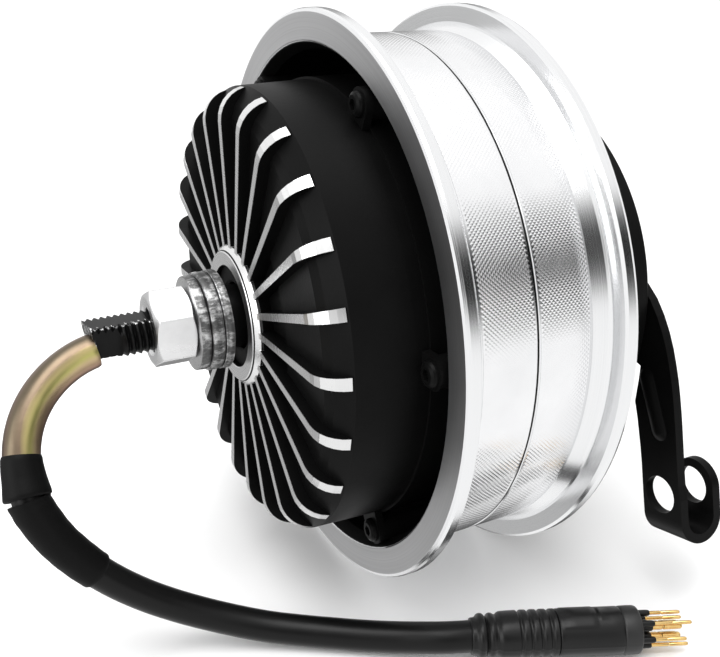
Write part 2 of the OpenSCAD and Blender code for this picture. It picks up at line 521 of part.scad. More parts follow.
axle();
cable_side_nut();
lock_washer();
inner_washer();
outer_washer();
stator_hub();
stator_core();
stator_windings();
hall_sensor_board();
phase_leads();
left_bearing_inner_race();
right_bearing_inner_race();
rim_left_half();
rim_right_half();
rim_bolts();
back_iron_ring();
magnets();
finned_cover();
cable_side_seal();
left_bearing_outer_race();
left_bearing_balls();
brake_side_cover();
drum_liner();
right_bearing_outer_race();
right_bearing_balls();
brake_backing_plate();
brake_arm();
arm_rivets();
anchor_pin();
anchor_nut();
brake_side_washer();
brake_side_nut();
upper_shoe();
upper_shoe_lining();
lower_shoe();
lower_shoe_lining();
shoe_return_spring();
brake_cam();
brake_lever();
lever_nut();
cable_tube();
tube_sleeve();
cable_sleeve();
cable();
plug_strain_relief();
plug_shell();
plug_end_band();
plug_insert();
phase_pins();
signal_pins();
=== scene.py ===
import math

import bpy
import numpy as np
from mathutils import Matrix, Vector


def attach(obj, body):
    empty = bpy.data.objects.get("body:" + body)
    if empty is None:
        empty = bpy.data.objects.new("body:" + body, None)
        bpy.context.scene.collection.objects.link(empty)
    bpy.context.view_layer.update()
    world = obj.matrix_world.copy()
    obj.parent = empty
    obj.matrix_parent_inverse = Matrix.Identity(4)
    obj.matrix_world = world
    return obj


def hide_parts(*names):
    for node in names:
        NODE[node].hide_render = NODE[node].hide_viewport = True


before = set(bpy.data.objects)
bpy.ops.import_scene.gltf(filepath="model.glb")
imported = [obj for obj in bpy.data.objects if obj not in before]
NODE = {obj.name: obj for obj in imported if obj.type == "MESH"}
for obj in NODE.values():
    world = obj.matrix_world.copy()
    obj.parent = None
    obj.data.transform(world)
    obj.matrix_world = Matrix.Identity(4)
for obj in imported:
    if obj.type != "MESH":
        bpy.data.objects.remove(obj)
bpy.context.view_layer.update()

MM = 0.001
scene = bpy.context.scene

# ---------- camera ----------
cam_data = bpy.data.cameras.new("camera")
cam_data.sensor_width = 36
cam_data.lens = 45.32
cam_data.clip_start, cam_data.clip_end = 0.01, 100
camera = bpy.data.objects.new("camera", cam_data)
scene.collection.objects.link(camera)
camera.location = (0.2558, -0.1380, 0.1060)
camera.rotation_mode = "QUATERNION"
camera.rotation_quaternion = Vector((-0.8275, 0.4099, -0.3837)).to_track_quat("-Z", "Y")
scene.camera = camera
scene.view_settings.view_transform = "Standard"

# ---------- dimensions shared with the CAD, in mm ----------
AXLE_LEFT, AXLE_RIGHT, SHOULDER, PLATE_Y = 99.6, 92.0, -60.4, 54.5
THREAD_R, PITCH, FLAT, FLAT_STEP = 7.0, 2.0, 5.0, -83.3
MILLED, MILL_X, MILL_END, MILL_R = math.radians(10), 4.3, -95, 5
THREAD_STEP = 0.2
TUBE_DIR, TUBE_START = math.radians(34), math.radians(11)
TUBE_BEND, TUBE_DROP, TUBE_BELOW, TUBE_R, TUBE_BORE_R = 32.0, 35.2, 3.2, 5.2, 4.3
TUBE_OUT = TUBE_BEND * (1 - math.sin(TUBE_START))
SLEEVE_LOW, CABLE_R = 41.2, 4.7
RELIEF_END, SHELL_END, INSERT_AT, PLUG_END = 26, 45.6, 49, 51
PLUG_DIR = math.radians(67)


def drop(w):
    """Point of the cable's straight fall, w below the axle."""
    return [w * math.sin(TUBE_DIR), -AXLE_LEFT - TUBE_OUT, -w * math.cos(TUBE_DIR)]


# the cable's course, the same points as in the CAD
ROUTE = np.array([
    drop(TUBE_DROP), drop(40), [24.6, -124.5, -37.4], [28.1, -120.2, -45.9], [30.6, -114, -54.2],
    [32.1, -107, -61.8], [33.3, -99.3, -68.6], [34.9, -91.1, -74.3], [37.3, -82.4, -79],
    [40.6, -73.6, -82.6], [44.8, -64.8, -85], [49.7, -55.9, -86.1], [55.1, -47.1, -86.45],
    [60.6, -38.5, -86.45], [66.3, -30, -85.8], [73.7, -19.9, -84], [76.8, -12.5, -83.95],
])
LAST = len(ROUTE) - 1
PLUG_AT = ROUTE[-1]
FLOOR_Z = -0.0913  # in metres, just under the rim's flanges


def on_route(s):
    """Point of the smooth curve through the route, s counted in route points."""
    i = min(int(s), LAST - 1)
    f = s - i
    a, b, c, d = ROUTE[max(i - 1, 0)], ROUTE[i], ROUTE[i + 1], ROUTE[min(i + 2, LAST)]
    square, cube = 2 * a - 5 * b + 4 * c - d, 3 * b - a - 3 * c + d
    return 0.5 * (2 * b + (c - a) * f + square * f * f + cube * f ** 3)


# ---------- materials ----------
class Mat:
    """A Principled material and short names for the nodes that feed it."""

    def __init__(self, name, **values):
        self.m = bpy.data.materials.new(name)
        self.m.use_nodes = True
        self.t = self.m.node_tree
        self.b = self.t.nodes["Principled BSDF"]
        for k, v in values.items():
            self.b.inputs[k.replace("_", " ")].default_value = v
        self.obj = self.node("ShaderNodeTexCoord").outputs["Object"]
        s = self.node("ShaderNodeSeparateXYZ", {"Vector": self.obj})
        self.x, self.y, self.z = s.outputs
        x2, z2 = self.math("MULTIPLY", self.x, self.x), self.math("MULTIPLY", self.z, self.z)
        self.r = self.math("SQRT", self.math("ADD", x2, z2))
        self.height = None

    def node(self, kind, ins=None, **props):
        n = self.t.nodes.new(kind)
        for k, v in props.items():
            setattr(n, k, v)
        for k, v in (ins or {}).items():
            self.put(n.inputs[k], v)
        return n

    def put(self, socket, v):
        if isinstance(v, bpy.types.NodeSocket):
            self.t.links.new(v, socket)
        else:
            socket.default_value = v

    def set(self, name, v):
        self.put(self.b.inputs[name], v)
        return self

    def math(self, op, a, b=0.0, c=None):
        n = self.node("ShaderNodeMath", operation=op)
        self.put(n.inputs[0], a)
        self.put(n.inputs[1], b)
        if c is not None:
            self.put(n.inputs[2], c)
        return n.outputs[0]

    def step(self, v, lo, hi, a=0.0, b=1.0):
        ends = {"Value": v, "From Min": lo, "From Max": hi, "To Min": a, "To Max": b}
        return self.node("ShaderNodeMapRange", ends, interpolation_type="SMOOTHSTEP").outputs[0]

    def both(self, *masks):
        out = masks[0]
        for m in masks[1:]:
            out = self.math("MULTIPLY", out, m)
        return out

    def either(self, a, b):
        return self.math("MAXIMUM", a, b)

    def near(self, v, centre):
        """Distance of a value from a centre."""
        return self.math("ABSOLUTE", self.math("SUBTRACT", v, centre))

    def wave(self, v, per_metre):
        return self.math("SINE", self.math("MULTIPLY", v, per_metre))

    def vec(self, x, y, z):
        return self.node("ShaderNodeCombineXYZ", {"X": x, "Y": y, "Z": z}).outputs[0]

    def noise(self, scale, detail=3.0, rough=0.5, vec=None, distortion=0.0):
        where = vec if vec is not None else self.obj
        ins = {"Vector": where, "Scale": scale, "Detail": detail, "Roughness": rough,
               "Distortion": distortion}
        return self.node("ShaderNodeTexNoise", ins).outputs["Fac"]

    def mix(self, f, a, b):
        n = self.node("ShaderNodeMix", data_type="RGBA")
        self.put(n.inputs[0], f)
        self.put(n.inputs[6], a)
        self.put(n.inputs[7], b)
        return n.outputs[2]

    def mixf(self, f, a, b):
        n = self.node("ShaderNodeMix", data_type="FLOAT")
        self.put(n.inputs[0], f)
        self.put(n.inputs[2], a)
        self.put(n.inputs[3], b)
        return n.outputs[0]

    def ramp(self, f, *stops):
        n = self.node("ShaderNodeValToRGB", {"Fac": f})
        e = n.color_ramp.elements
        while len(e) < len(stops):
            e.new(0.5)
        for k, (p, c) in enumerate(stops):
            e[k].position = p
            e[k].color = (*c, 1) if len(c) == 3 else c
        return n.outputs["Color"]

    def attr(self, name):
        return self.node("ShaderNodeAttribute", attribute_name=name).outputs["Fac"]

    def bump(self, height, distance, strength=1.0):
        ins = {"Height": height, "Distance": distance, "Strength": strength}
        if self.height is not None:
            ins["Normal"] = self.height
        self.height = self.node("ShaderNodeBump", ins).outputs["Normal"]
        self.put(self.b.inputs["Normal"], self.height)
        return self


def grey(v, tint=(1, 1, 1)):
    return (v * tint[0], v * tint[1], v * tint[2], 1)


def turned(m, scale=2600.0):
    """Fine tool marks that run round the wheel's axis."""
    return m.noise(scale, 2.0, 0.6, m.vec(m.r, m.y, m.math("MULTIPLY", m.x, 0.004)))


def make_rim():
    m = Mat("rim_turned_and_painted", Anisotropic=0.55, Specular_IOR_Level=0.06)
    tangent = m.node("ShaderNodeTangent", direction_type="RADIAL", axis="Y").outputs[0]
    m.put(m.b.inputs["Tangent"], tangent)
    # black paint inside the barrel, with a slightly ragged edge; brushed side faces; a dark seam
    edge = m.math("ADD", m.r, m.math("MULTIPLY", m.math("SUBTRACT", m.noise(900.0, 2.0), 0.5), 0.0002))
    paint = m.step(edge, 0.08145, 0.08165, 1.0, 0.0)
    face = m.both(m.step(m.math("ABSOLUTE", m.y), 0.02665, 0.02685), m.step(m.r, 0.0897, 0.0901, 1.0, 0.0))
    marks, cloud = turned(m), m.noise(38.0, 4.0, 0.6)
    half = m.math("MULTIPLY", marks, 0.5)
    turned_metal = m.mix(half, grey(0.76, (1, 1.005, 1.015)), grey(0.92, (1, 1.005, 1.01)))
    brushed = m.mix(marks, grey(0.42, (1, 1.0, 1.01)), grey(0.60, (1, 1.0, 1.01)))
    bare = m.mix(face, turned_metal, brushed)
    seam = m.step(m.math("ABSOLUTE", m.y), 0.00022, 0.00038, 1.0, 0.0)
    m.set("Base Color", m.mix(m.either(paint, seam), bare, m.mix(cloud, grey(0.002), grey(0.005))))
    m.set("Metallic", m.math("SUBTRACT", 1.0, m.either(paint, seam)))
    rough = m.mixf(face, m.mixf(cloud, 0.13, 0.20), m.mixf(cloud, 0.34, 0.44))
    m.set("Roughness", m.mixf(paint, rough, m.mixf(m.noise(200.0), 0.40, 0.55)))
    m.bump(marks, 0.00003, 0.5)
    m.bump(m.noise(1500.0, 2.0), 0.00003, m.math("MULTIPLY", paint, 0.8))
    return m.m


def make_knurl():
    m = Mat("knurled_aluminium", Metallic=1.0)
    worn = m.noise(60.0, 4.0, 0.6)
    m.set("Base Color", m.mix(worn, grey(0.75, (1, 1.005, 1.015)), grey(0.90, (1, 1.0, 1.01))))
    m.set("Roughness", m.mixf(m.noise(220.0, 3.0), 0.12, 0.20))
    m.bump(m.noise(3500.0, 2.0), 0.00001, 0.5)
    return m.m


def make_cover():
    m = Mat("finned_cover_black_and_bare", Specular_IOR_Level=0.06)
    # bare metal: the fins' outer ends and tops, and the machined ring, which carries a thin black line of
    # painted shade where its groove is
    across = m.math("POWER", m.math("SUBTRACT", m.r, 0.060), 2.0)
    along = m.math("POWER", m.math("ADD", m.y, 0.0457), 2.0)
    from_arc = m.math("SQRT", m.math("ADD", across, along))
    fin_end = m.both(m.step(m.r, 0.0598, 0.0601), m.step(m.y, -0.04785, -0.04770, 1.0, 0.0),
                     m.step(from_arc, 0.00965, 0.00974))
    fin_top = m.both(m.step(m.y, -0.05545, -0.05535, 1.0, 0.0), m.step(m.r, 0.0223, 0.0224))
    ring = m.both(m.step(m.y, -0.05430, -0.05415, 1.0, 0.0), m.step(m.r, 0.02245, 0.02255, 1.0, 0.0),
                  m.step(m.r, 0.01624, 0.01632))
    # a thin black line painted round the ring: painted shade standing in for its groove
    groove_painted_shade = m.step(m.near(m.r, 0.0208), 0.00014, 0.00024)
    ring = m.both(ring, groove_painted_shade)
    bare = m.either(m.either(fin_end, m.both(fin_top, m.step(m.r, 0.0600, 0.0602, 1.0, 0.0))), ring)
    marks, cloud = turned(m, 1100.0), m.noise(45.0, 4.0, 0.6)
    black, metal = m.mix(cloud, grey(0.002), grey(0.005)), m.mix(cloud, grey(0.66), grey(0.82))
    m.set("Base Color", m.mix(bare, black, metal))
    m.set("Metallic", bare)
    m.set("Roughness", m.mixf(bare, m.mixf(cloud, 0.33, 0.46), m.mixf(marks, 0.20, 0.36)))
    m.bump(marks, 0.00001, m.math("MULTIPLY", bare, 0.4))
    m.bump(m.noise(1300.0, 2.0), 0.00004, m.mixf(bare, 0.7, 0.0))
    return m.m


def make_black_paint(name, low=0.33, high=0.48):
    m = Mat(name, Specular_IOR_Level=0.06)
    cloud = m.noise(55.0, 4.0, 0.6)
    m.set("Base Color", m.mix(cloud, grey(0.002), grey(0.005)))
    m.set("Roughness", m.mixf(cloud, low, high))
    m.bump(m.noise(1300.0, 2.0), 0.00004, 0.7)
    m.bump(m.noise(140.0, 2.0), 0.00010, 0.25)
    return m.m


def make_metal(name, dark, light, low, high, scale, bump):
    m = Mat(name, Metallic=1.0)
    n = m.noise(scale, 4.0, 0.6)
    m.set("Base Color", m.mix(n, grey(dark), grey(light)))
    m.set("Roughness", m.mixf(m.noise(scale * 0.6, 3.0), low, high))
    m.bump(n, bump, 0.8)
    return m.m


def make_zinc():
    m = Mat("bright_zinc", Metallic=1.0)
    cloud = m.noise(150.0, 5.0, 0.65)
    drag = m.noise(500.0, 3.0, 0.6, m.vec(m.x, m.math("MULTIPLY", m.y, 0.12), m.z))
    m.set("Base Color", m.mix(cloud, grey(0.64, (1, 1.0, 1.01)), grey(0.84)))
    m.set("Roughness", m.mixf(drag, 0.20, 0.38))
    m.bump(drag, 0.00004, 0.6)
    m.bump(cloud, 0.00012, 0.4)
    return m.m


def make_washer():
    m = Mat("stamped_steel", Metallic=1.0)
    edge = m.attr("edge")
    sheared = m.noise(420.0, 5.0, 0.7, m.vec(m.x, m.math("MULTIPLY", m.y, 0.45), m.z))
    blotch = m.noise(900.0, 4.0, 0.7)
    face = m.mix(m.noise(200.0, 3.0), grey(0.46), grey(0.66))
    m.set("Base Color", m.mix(edge, face, m.mix(m.step(sheared, 0.45, 0.66), grey(0.12), grey(0.62))))
    m.set("Roughness", m.mixf(edge, m.mixf(blotch, 0.22, 0.36), m.mixf(blotch, 0.26, 0.52)))
    m.bump(sheared, 0.00022, m.mixf(edge, 0.1, 0.8))
    m.bump(blotch, 0.00006, 0.5)
    return m.m


def make_axle():
    m = Mat("black_oxide", Specular_IOR_Level=0.14)
    worn = m.both(m.attr("edge"), m.step(m.noise(700.0, 4.0, 0.7), 0.50, 0.60))
    cloud = m.noise(180.0, 4.0, 0.6)
    m.set("Base Color", m.mix(worn, m.mix(cloud, grey(0.001), grey(0.004)), grey(0.75)))
    m.set("Metallic", worn)
    m.set("Roughness", m.mixf(worn, m.mixf(cloud, 0.24, 0.42), 0.25))
    m.bump(m.noise(1600.0, 3.0), 0.00003, 0.6)
    return m.m


def make_tube():
    m = Mat("rainbow_zinc_painted_highlight", Metallic=1.0)
    # place round the tube, in turns from the side that carries the painted highlight; the ramp paints the
    # rainbow film's own colours together with painted light: a bright yellow-green painted highlight on that
    # side and painted shade on the far side
    place = m.math("DIVIDE", m.math("ARCTAN2", m.attr("glint_sin"), m.attr("glint_cos")), 2 * math.pi)
    drift = m.noise(26.0, 3.0, 0.6)
    shift = m.math("MULTIPLY", m.math("SUBTRACT", drift, 0.5), 0.12)
    p = m.math("ADD", m.math("ADD", place, 0.49), shift)
    rainbow_film_and_painted_highlight = m.ramp(p, (0.0, (0.26, 0.16, 0.12)), (0.28, (0.34, 0.22, 0.17)), (0.36, (0.38, 0.24, 0.17)),
                  (0.43, (0.58, 0.44, 0.25)), (0.48, (0.60, 0.56, 0.18)), (0.525, (0.46, 0.38, 0.16)),
                  (0.57, (0.17, 0.12, 0.08)), (0.66, (0.11, 0.09, 0.06)), (0.76, (0.20, 0.13, 0.10)),
                  (1.0, (0.26, 0.16, 0.12)))
    plain = m.math("MULTIPLY", m.noise(160.0, 4.0, 0.6), 0.28)
    m.set("Base Color", m.mix(plain, rainbow_film_and_painted_highlight, grey(0.30, (1.0, 0.84, 0.64))))
    m.set("Roughness", m.mixf(m.noise(300.0, 4.0, 0.6), 0.28, 0.42))
    m.bump(m.noise(900.0, 3.0, 0.6), 0.00004, 0.5)
    return m.m


def make_rubber(name, tone=0.016, low=0.42, high=0.58, grain=1600.0, depth=0.00003, spec=0.3, shades=None):
    m = Mat(name, Specular_IOR_Level=spec)
    cloud = m.noise(70.0, 4.0, 0.6)
    m.set("Base Color", m.mix(cloud, *(shades or (grey(tone * 0.75), grey(tone * 1.25)))))
    m.set("Roughness", m.mixf(cloud, low, high))
    m.bump(m.noise(grain, 2.0), depth, 0.6)
    m.bump(m.noise(120.0, 2.0), 0.00015, 0.25)
    return m.m


def make_gold():
    m = Mat("gold_plate", Metallic=1.0)
    n = m.noise(900.0, 3.0, 0.6)
    m.set("Base Color", m.mix(n, (0.66, 0.42, 0.14, 1), (0.86, 0.62, 0.28, 1)))
    m.set("Roughness", m.mixf(m.noise(1500.0, 2.0), 0.16, 0.28))
    m.bump(n, 0.00001, 0.5)
    return m.m


def make_windings():
    m = Mat("enamelled_copper", Metallic=0.9, Coat_Weight=0.6, Coat_Roughness=0.15)
    wire_relief_and_shade = m.wave(m.math("ADD", m.y, m.math("MULTIPLY", m.r, 0.25)), 9000.0)
    # the copper is painted darker between the wires and lighter on their crests: painted shade and painted
    # highlight over the wires' relief
    m.set("Base Color", m.mix(m.step(wire_relief_and_shade, -1.0, 1.0), (0.42, 0.15, 0.06, 1), (0.80, 0.38, 0.18, 1)))
    m.set("Roughness", m.mixf(m.noise(400.0), 0.25, 0.4))
    m.bump(wire_relief_and_shade, 0.0001, 0.8)
    return m.m


def make_laminated():
    m = Mat("laminated_steel", Metallic=0.9)
    sheets = m.wave(m.y, 6283.0)
    m.set("Base Color", m.mix(m.step(sheets, -1.0, 0.2), grey(0.20), grey(0.46)))
    m.set("Roughness", m.mixf(m.noise(300.0), 0.35, 0.55))
    m.bump(sheets, 0.00006, 0.8)
    return m.m


RIM, KNURL, COVER = make_rim(), make_knurl(), make_cover()
BLACK = make_black_paint("satin_black_paint")
ARM = make_black_paint("arm_black_paint", 0.28, 0.42)
ZINC, WASHER, AXLE, TUBE = make_zinc(), make_washer(), make_axle(), make_tube()
RUBBER = make_rubber("cable_jacket", 0.003, 0.30, 0.42, spec=0.20)
SLEEVE = make_rubber("heat_shrink", 0.003, 0.40, 0.54, 1200.0, 0.00004, 0.09)
PLASTIC = make_rubber("plug_plastic", 0.004, 0.28, 0.40, 1900.0, 0.00003, 0.26)
BAND = make_rubber("plug_band_plastic", 0.014, 0.38, 0.50, 1900.0, 0.00003, 0.35)
SEAL = make_rubber("seal_rubber", 0.004, 0.50, 0.65, spec=0.15)
GOLD = make_gold()
BEARING = make_metal("ground_steel", 0.55, 0.72, 0.14, 0.26, 500.0, 0.00001)
CAST = make_metal("cast_aluminium", 0.42, 0.62, 0.42, 0.6, 700.0, 0.00008)
IRON = make_metal("turned_iron", 0.22, 0.36, 0.3, 0.5, 900.0, 0.00005)
OXIDE = make_black_paint("black_oxide_steel", 0.30, 0.44)
SPRING = make_metal("drawn_wire", 0.35, 0.55, 0.2, 0.35, 600.0, 0.00001)
MAGNET = make_metal("nickel_plate", 0.5, 0.66, 0.14, 0.28, 260.0, 0.00001)
COPPER, LAMINATED = make_windings(), make_laminated()
LINING = make_rubber("friction_lining", 0.10, 0.75, 0.95, 700.0, 0.0002)
LEADS = make_rubber("red_silicone", shades=((0.30, 0.02, 0.015, 1), (0.42, 0.04, 0.03, 1)))
BOARD = make_rubber("green_board", low=0.3, high=0.4, shades=((0.01, 0.10, 0.035, 1), (0.02, 0.16, 0.06, 1)))

PAINTED = (
    (RIM, ["rim_left_half", "rim_right_half"]),
    (COVER, ["finned_cover"]),
    (BLACK, ["brake_side_cover", "brake_backing_plate"]),
    (ARM, ["brake_arm", "brake_lever"]),
    (OXIDE, ["arm_rivets", "anchor_nut", "rim_bolts"]),
    (ZINC, ["lever_nut"]),
    (SEAL, ["cable_side_seal"]),
    (CAST, ["stator_hub", "upper_shoe", "lower_shoe"]),
    (LAMINATED, ["stator_core", "back_iron_ring"]),
    (COPPER, ["stator_windings"]),
    (BOARD, ["hall_sensor_board"]),
    (LEADS, ["phase_leads"]),
    (MAGNET, ["magnets"]),
    (IRON, ["drum_liner"]),
    (LINING, ["upper_shoe_lining", "lower_shoe_lining"]),
    (SPRING, ["shoe_return_spring"]),
    (BEARING, ["brake_cam", "anchor_pin", "left_bearing_inner_race", "right_bearing_inner_race",
               "left_bearing_outer_race", "right_bearing_outer_race",
               "left_bearing_balls", "right_bearing_balls"]),
)
for material, names in PAINTED:
    for name in names:
        for s in NODE[name].material_slots:
            s.material = material

# rounded edges of the pressed parts
for name, width in (("brake_arm", 0.45), ("brake_lever", 0.35)):
    bevel = NODE[name].modifiers.new("rounded_edges", "BEVEL")
    bevel.width, bevel.segments = width * MM, 3
    bevel.limit_method, bevel.angle_limit = "ANGLE", math.radians(40)


# ---------- mesh helpers ----------
def piece(name, verts, faces, body, material, stands_for=(), sharp=35.0, attrs=None):
    """A mesh piece from points in mm."""
    me = bpy.data.meshes.new(name)
    me.from_pydata((np.asarray(verts, float) * MM).tolist(), [], [list(f) for f in faces])
    for k, v in (attrs or {}).items():
        me.attributes.new(k, "FLOAT", "POINT").data.foreach_set("value", np.asarray(v, np.float32))
    me.validate()
    me.materials.append(material)
    me.shade_smooth()
    me.set_sharp_from_angle(angle=math.radians(sharp))
    o = bpy.data.objects.new(name, me)
    scene.collection.objects.link(o)
    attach(o, body)
    if stands_for:
        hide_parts(*stands_for)
    return o


def rings(rows, closed_loop):
    """Faces between rows of points that each go round; rows of one point are poles."""
    faces, start, starts = [], 0, []
    for row in rows:
        starts.append(start)
        start += len(row)
    pairs = [(i, i + 1) for i in range(len(rows) - 1)] + ([(len(rows) - 1, 0)] if closed_loop else [])
    for i, j in pairs:
        a, b, n = starts[i], starts[j], max(len(rows[i]), len(rows[j]))
        if len(rows[i]) == 1 and len(rows[j]) == 1:
            continue
        for k in range(n):
            after = (k + 1) % n
            if len(rows[i]) == 1:
                faces.append((a, b + after, b + k))
            elif len(rows[j]) == 1:
                faces.append((a + k, a + after, b))
            else:
                faces.append((a + k, a + after, b + after, b + k))
    return faces


def axis_frame(origin, along, side):
    """Turns points of a profile round any axis: returns a function of (radius, distance, angle)."""
    along = np.asarray(along, float) / np.linalg.norm(along)
    u = np.asarray(side, float) - along * np.dot(side, along)
    u /= np.linalg.norm(u)
    v = np.cross(along, u)
    o = np.asarray(origin, float)
    return lambda r, t, a: o + along * t + r * (np.cos(a) * u + np.sin(a) * v)


Y_AXIS = axis_frame((0, 0, 0), (0, 1, 0), (1, 0, 0))
PLUG_AXIS = axis_frame(PLUG_AT, (math.cos(PLUG_DIR), math.sin(PLUG_DIR), 0), (0, 0, 1))


def turn(profile, n, place=Y_AXIS, shape=None):
    """Rows of points from a profile of (radius, distance); shape may change them by (index, angle)."""
    rows = []
    for i, (r, t) in enumerate(profile):
        if r == 0:
            rows.append([place(0, t, 0)])
            continue
        row = []
        for k in range(n):
            a = 2 * math.pi * k / n
            radius, distance = shape(i, a, r, t) if shape else (r, t)
            row.append(place(radius, distance, a))
        rows.append(row)
    return rows


def flat(rows):
    """All points of the rows in one array."""
    return np.array([p for row in rows for p in row])


def wobble(seed, n, count=6):
    """A smooth closed curve of small bumps, the same each run."""
    rng = np.random.default_rng(seed)
    amp, ph, fr = rng.uniform(0.3, 1, count), rng.uniform(0, 6.28, count), rng.integers(2, n, count)
    return lambda a: float(np.sum(amp * np.sin(fr * a + ph)) / count)


# ---------- cable, sleeves and plug ----------
curve = bpy.data.curves.new("cable_jacket", "CURVE")
curve.dimensions = "3D"
curve.bevel_depth = CABLE_R * MM
curve.bevel_resolution = 8
curve.resolution_u = 8
curve.use_fill_caps = True
steps = [0.5 * k for k in range(2 * LAST + 1)]
spline = curve.splines.new("BEZIER")
spline.bezier_points.add(len(steps) - 1)
for point, s in zip(spline.bezier_points, steps):
    s0, s1 = max(s - 0.02, 0), min(s + 0.02, LAST)
    here, slope = on_route(s), (on_route(s1) - on_route(s0)) / (s1 - s0) * 0.5 / 3
    point.co = Vector(here * MM)
    point.handle_left_type = point.handle_right_type = "FREE"
    point.handle_left, point.handle_right = Vector((here - slope) * MM), Vector((here + slope) * MM)
curve.materials.append(RUBBER)
cable = bpy.data.objects.new("cable_jacket", curve)
scene.collection.objects.link(cable)
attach(cable, "axle_side")
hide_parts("cable")


def hose(points, outer, inner, n):
    """A hollow tube: rows along the outside, then back along the bore, and each point's angle."""
    p = np.asarray(points, float)
    t = np.gradient(p, axis=0)
    t /= np.linalg.norm(t, axis=1)[:, None]
    u = np.cross(t[0], (1, 0, 0))
    frames = []
    for i in range(len(p)):
        u = u - t[i] * np.dot(u, t[i])
        u /= np.linalg.norm(u)
        frames.append((u, np.cross(t[i], u)))
    order = [(i, outer) for i in range(len(p))] + [(i, inner) for i in reversed(range(len(p)))]
    rows, angle = [], []
    for i, radius in order:
        row = []
        for k in range(n):
            a = 2 * math.pi * k / n
            r = radius(i, a) if callable(radius) else radius[i]
            row.append(p[i] + r * (math.cos(a) * frames[i][0] + math.sin(a) * frames[i][1]))
            angle.append(a)
        rows.append(row)
    return rows, np.array(angle)


def tube_at(out, low):
    """Point of the tube's plane, out from the axle's end and low below the axle."""
    return [low * math.sin(TUBE_DIR), -AXLE_LEFT - out, -low * math.cos(TUBE_DIR)]


# steel tube, bent from the axle down into the sleeve
def tube_radius(i, a):
    """The steel tube is a little out of round, and its first edge is broken."""
    return TUBE_R - (0.25 if i == 0 else 0.0) + 0.03 * math.sin(3 * a + i * 0.2)


line = []
for k in range(49):
    a = TUBE_START + (math.pi / 2 - TUBE_START) * k / 48
    line.append(tube_at(TUBE_BEND * (math.sin(a) - math.sin(TUBE_START)),
                        TUBE_BELOW + TUBE_BEND * (math.cos(TUBE_START) - math.cos(a))))
line.append(tube_at(TUBE_OUT, TUBE_DROP))
rows, angle = hose(line, tube_radius, [TUBE_BORE_R] * len(line), 72)
# glint is the side of the tube where the bright band of painted highlight is put, with painted shade
# opposite it
glint = angle - 0.79 * 2 * math.pi
piece("cable_tube_steel", flat(rows), rings(rows, True), "axle_side", TUBE,
      ["cable_tube"], attrs={"glint_cos": np.cos(glint), "glint_sin": np.sin(glint)})


# shrink sleeves: a short tapered one over the tube's end, then a longer one on the cable
def tube_line(w):
    """Point of the tube's centre line that is w below the axle."""
    c = max(0.0, math.cos(TUBE_START) - (w - TUBE_BELOW) / TUBE_BEND)
    return tube_at(TUBE_BEND * (math.sqrt(1 - c * c) - math.sin(TUBE_START)), w)


line = [tube_line(w) for w in (*np.linspace(29.2, 40.6, 15), 41.0, SLEEVE_LOW)]
wave = wobble(5, 9)
size = np.interp(np.arange(len(line)), [0, 1, 3, 8, 13, 14, 15, 16],
                 [5.35, 5.62, 5.72, 6.02, 6.58, 6.62, 6.45, 6.2])
rows, angle = hose(line, lambda i, a: size[i] + 0.05 * wave(a + i * 0.11), [5.27] * len(line), 72)
piece("tube_sleeve_shrunk", flat(rows), rings(rows, True), "axle_side", SLEEVE,
      ["tube_sleeve"])

SLEEVE_ROWS = 42
line = [on_route(s) for s in np.linspace(1.42, 4.5, SLEEVE_ROWS)]
ripple = wobble(8, 7)


def sleeve_r(i, a):
    """Radius of the long sleeve: it tapers, has a waist near its top and shrinks in at its end."""
    f = i / (SLEEVE_ROWS - 1)
    end = 0.55 * max(0.0, (f - 0.965) / 0.035) ** 2
    waist = 0.10 * math.exp(-((f - 0.10) / 0.05) ** 2)
    return 6.0 - 0.62 * f - end - waist + 0.05 * ripple(a + f * 3) + 0.03 * math.sin(f * 40 + 2 * a)


rows, angle = hose(line, sleeve_r, [CABLE_R + 0.03] * SLEEVE_ROWS, 72)
piece("cable_sleeve_shrunk", flat(rows), rings(rows, True), "axle_side", SLEEVE,
      ["cable_sleeve"])


# plug: strain relief, shell, end band, insulating sleeves and pins
def parting(a, h=0.10):
    """The fine ridge that the two mould halves leave on both sides."""
    sides = (math.pi / 2, -math.pi / 2)
    return sum(h * math.exp(-(math.remainder(a - c, 2 * math.pi) / 0.035) ** 2) for c in sides)


relief = [(0, 0), (4.9, 0), (5.25, 0.15), (5.4, 0.5), (5.42, 1.3), (5.7, 1.8), (6.2, 2.15), (6.5, 2.6),
          (6.6, 3.2), (6.5, 3.8), (6.2, 4.2), (5.75, 4.5), (5.6, 4.75), (5.75, 5.0), (6.2, 5.3),
          (6.5, 5.7), (6.6, 6.2), (6.5, 6.8), (6.2, 7.2), (6.05, 7.6), (6.15, 8.0), (6.6, 8.5),
          (6.85, 9.0), (6.92, 9.6), (7.0, 11.5), (7.05, 13.9)]
for k in range(4):
    t = 14 + 3 * k
    relief += [(7.05, t + 0.05), (6.95, t + 0.2), (6.62, t + 0.35), (6.52, t + 0.55), (6.52, t + 0.95),
               (6.62, t + 1.15), (6.98, t + 1.35), (7.08, t + 1.6), (7.1, t + 2.1), (7.08, t + 2.7)]
relief += [(7.05, 25.4), (6.9, 25.8), (6.6, RELIEF_END), (0, RELIEF_END)]
rows = turn(relief, 144, PLUG_AXIS, lambda i, a, r, t: (r + (parting(a) if r > 5 else 0), t))
piece("plug_strain_relief_moulded", flat(rows), rings(rows, False), "axle_side", PLASTIC,
      ["plug_strain_relief"], sharp=50)


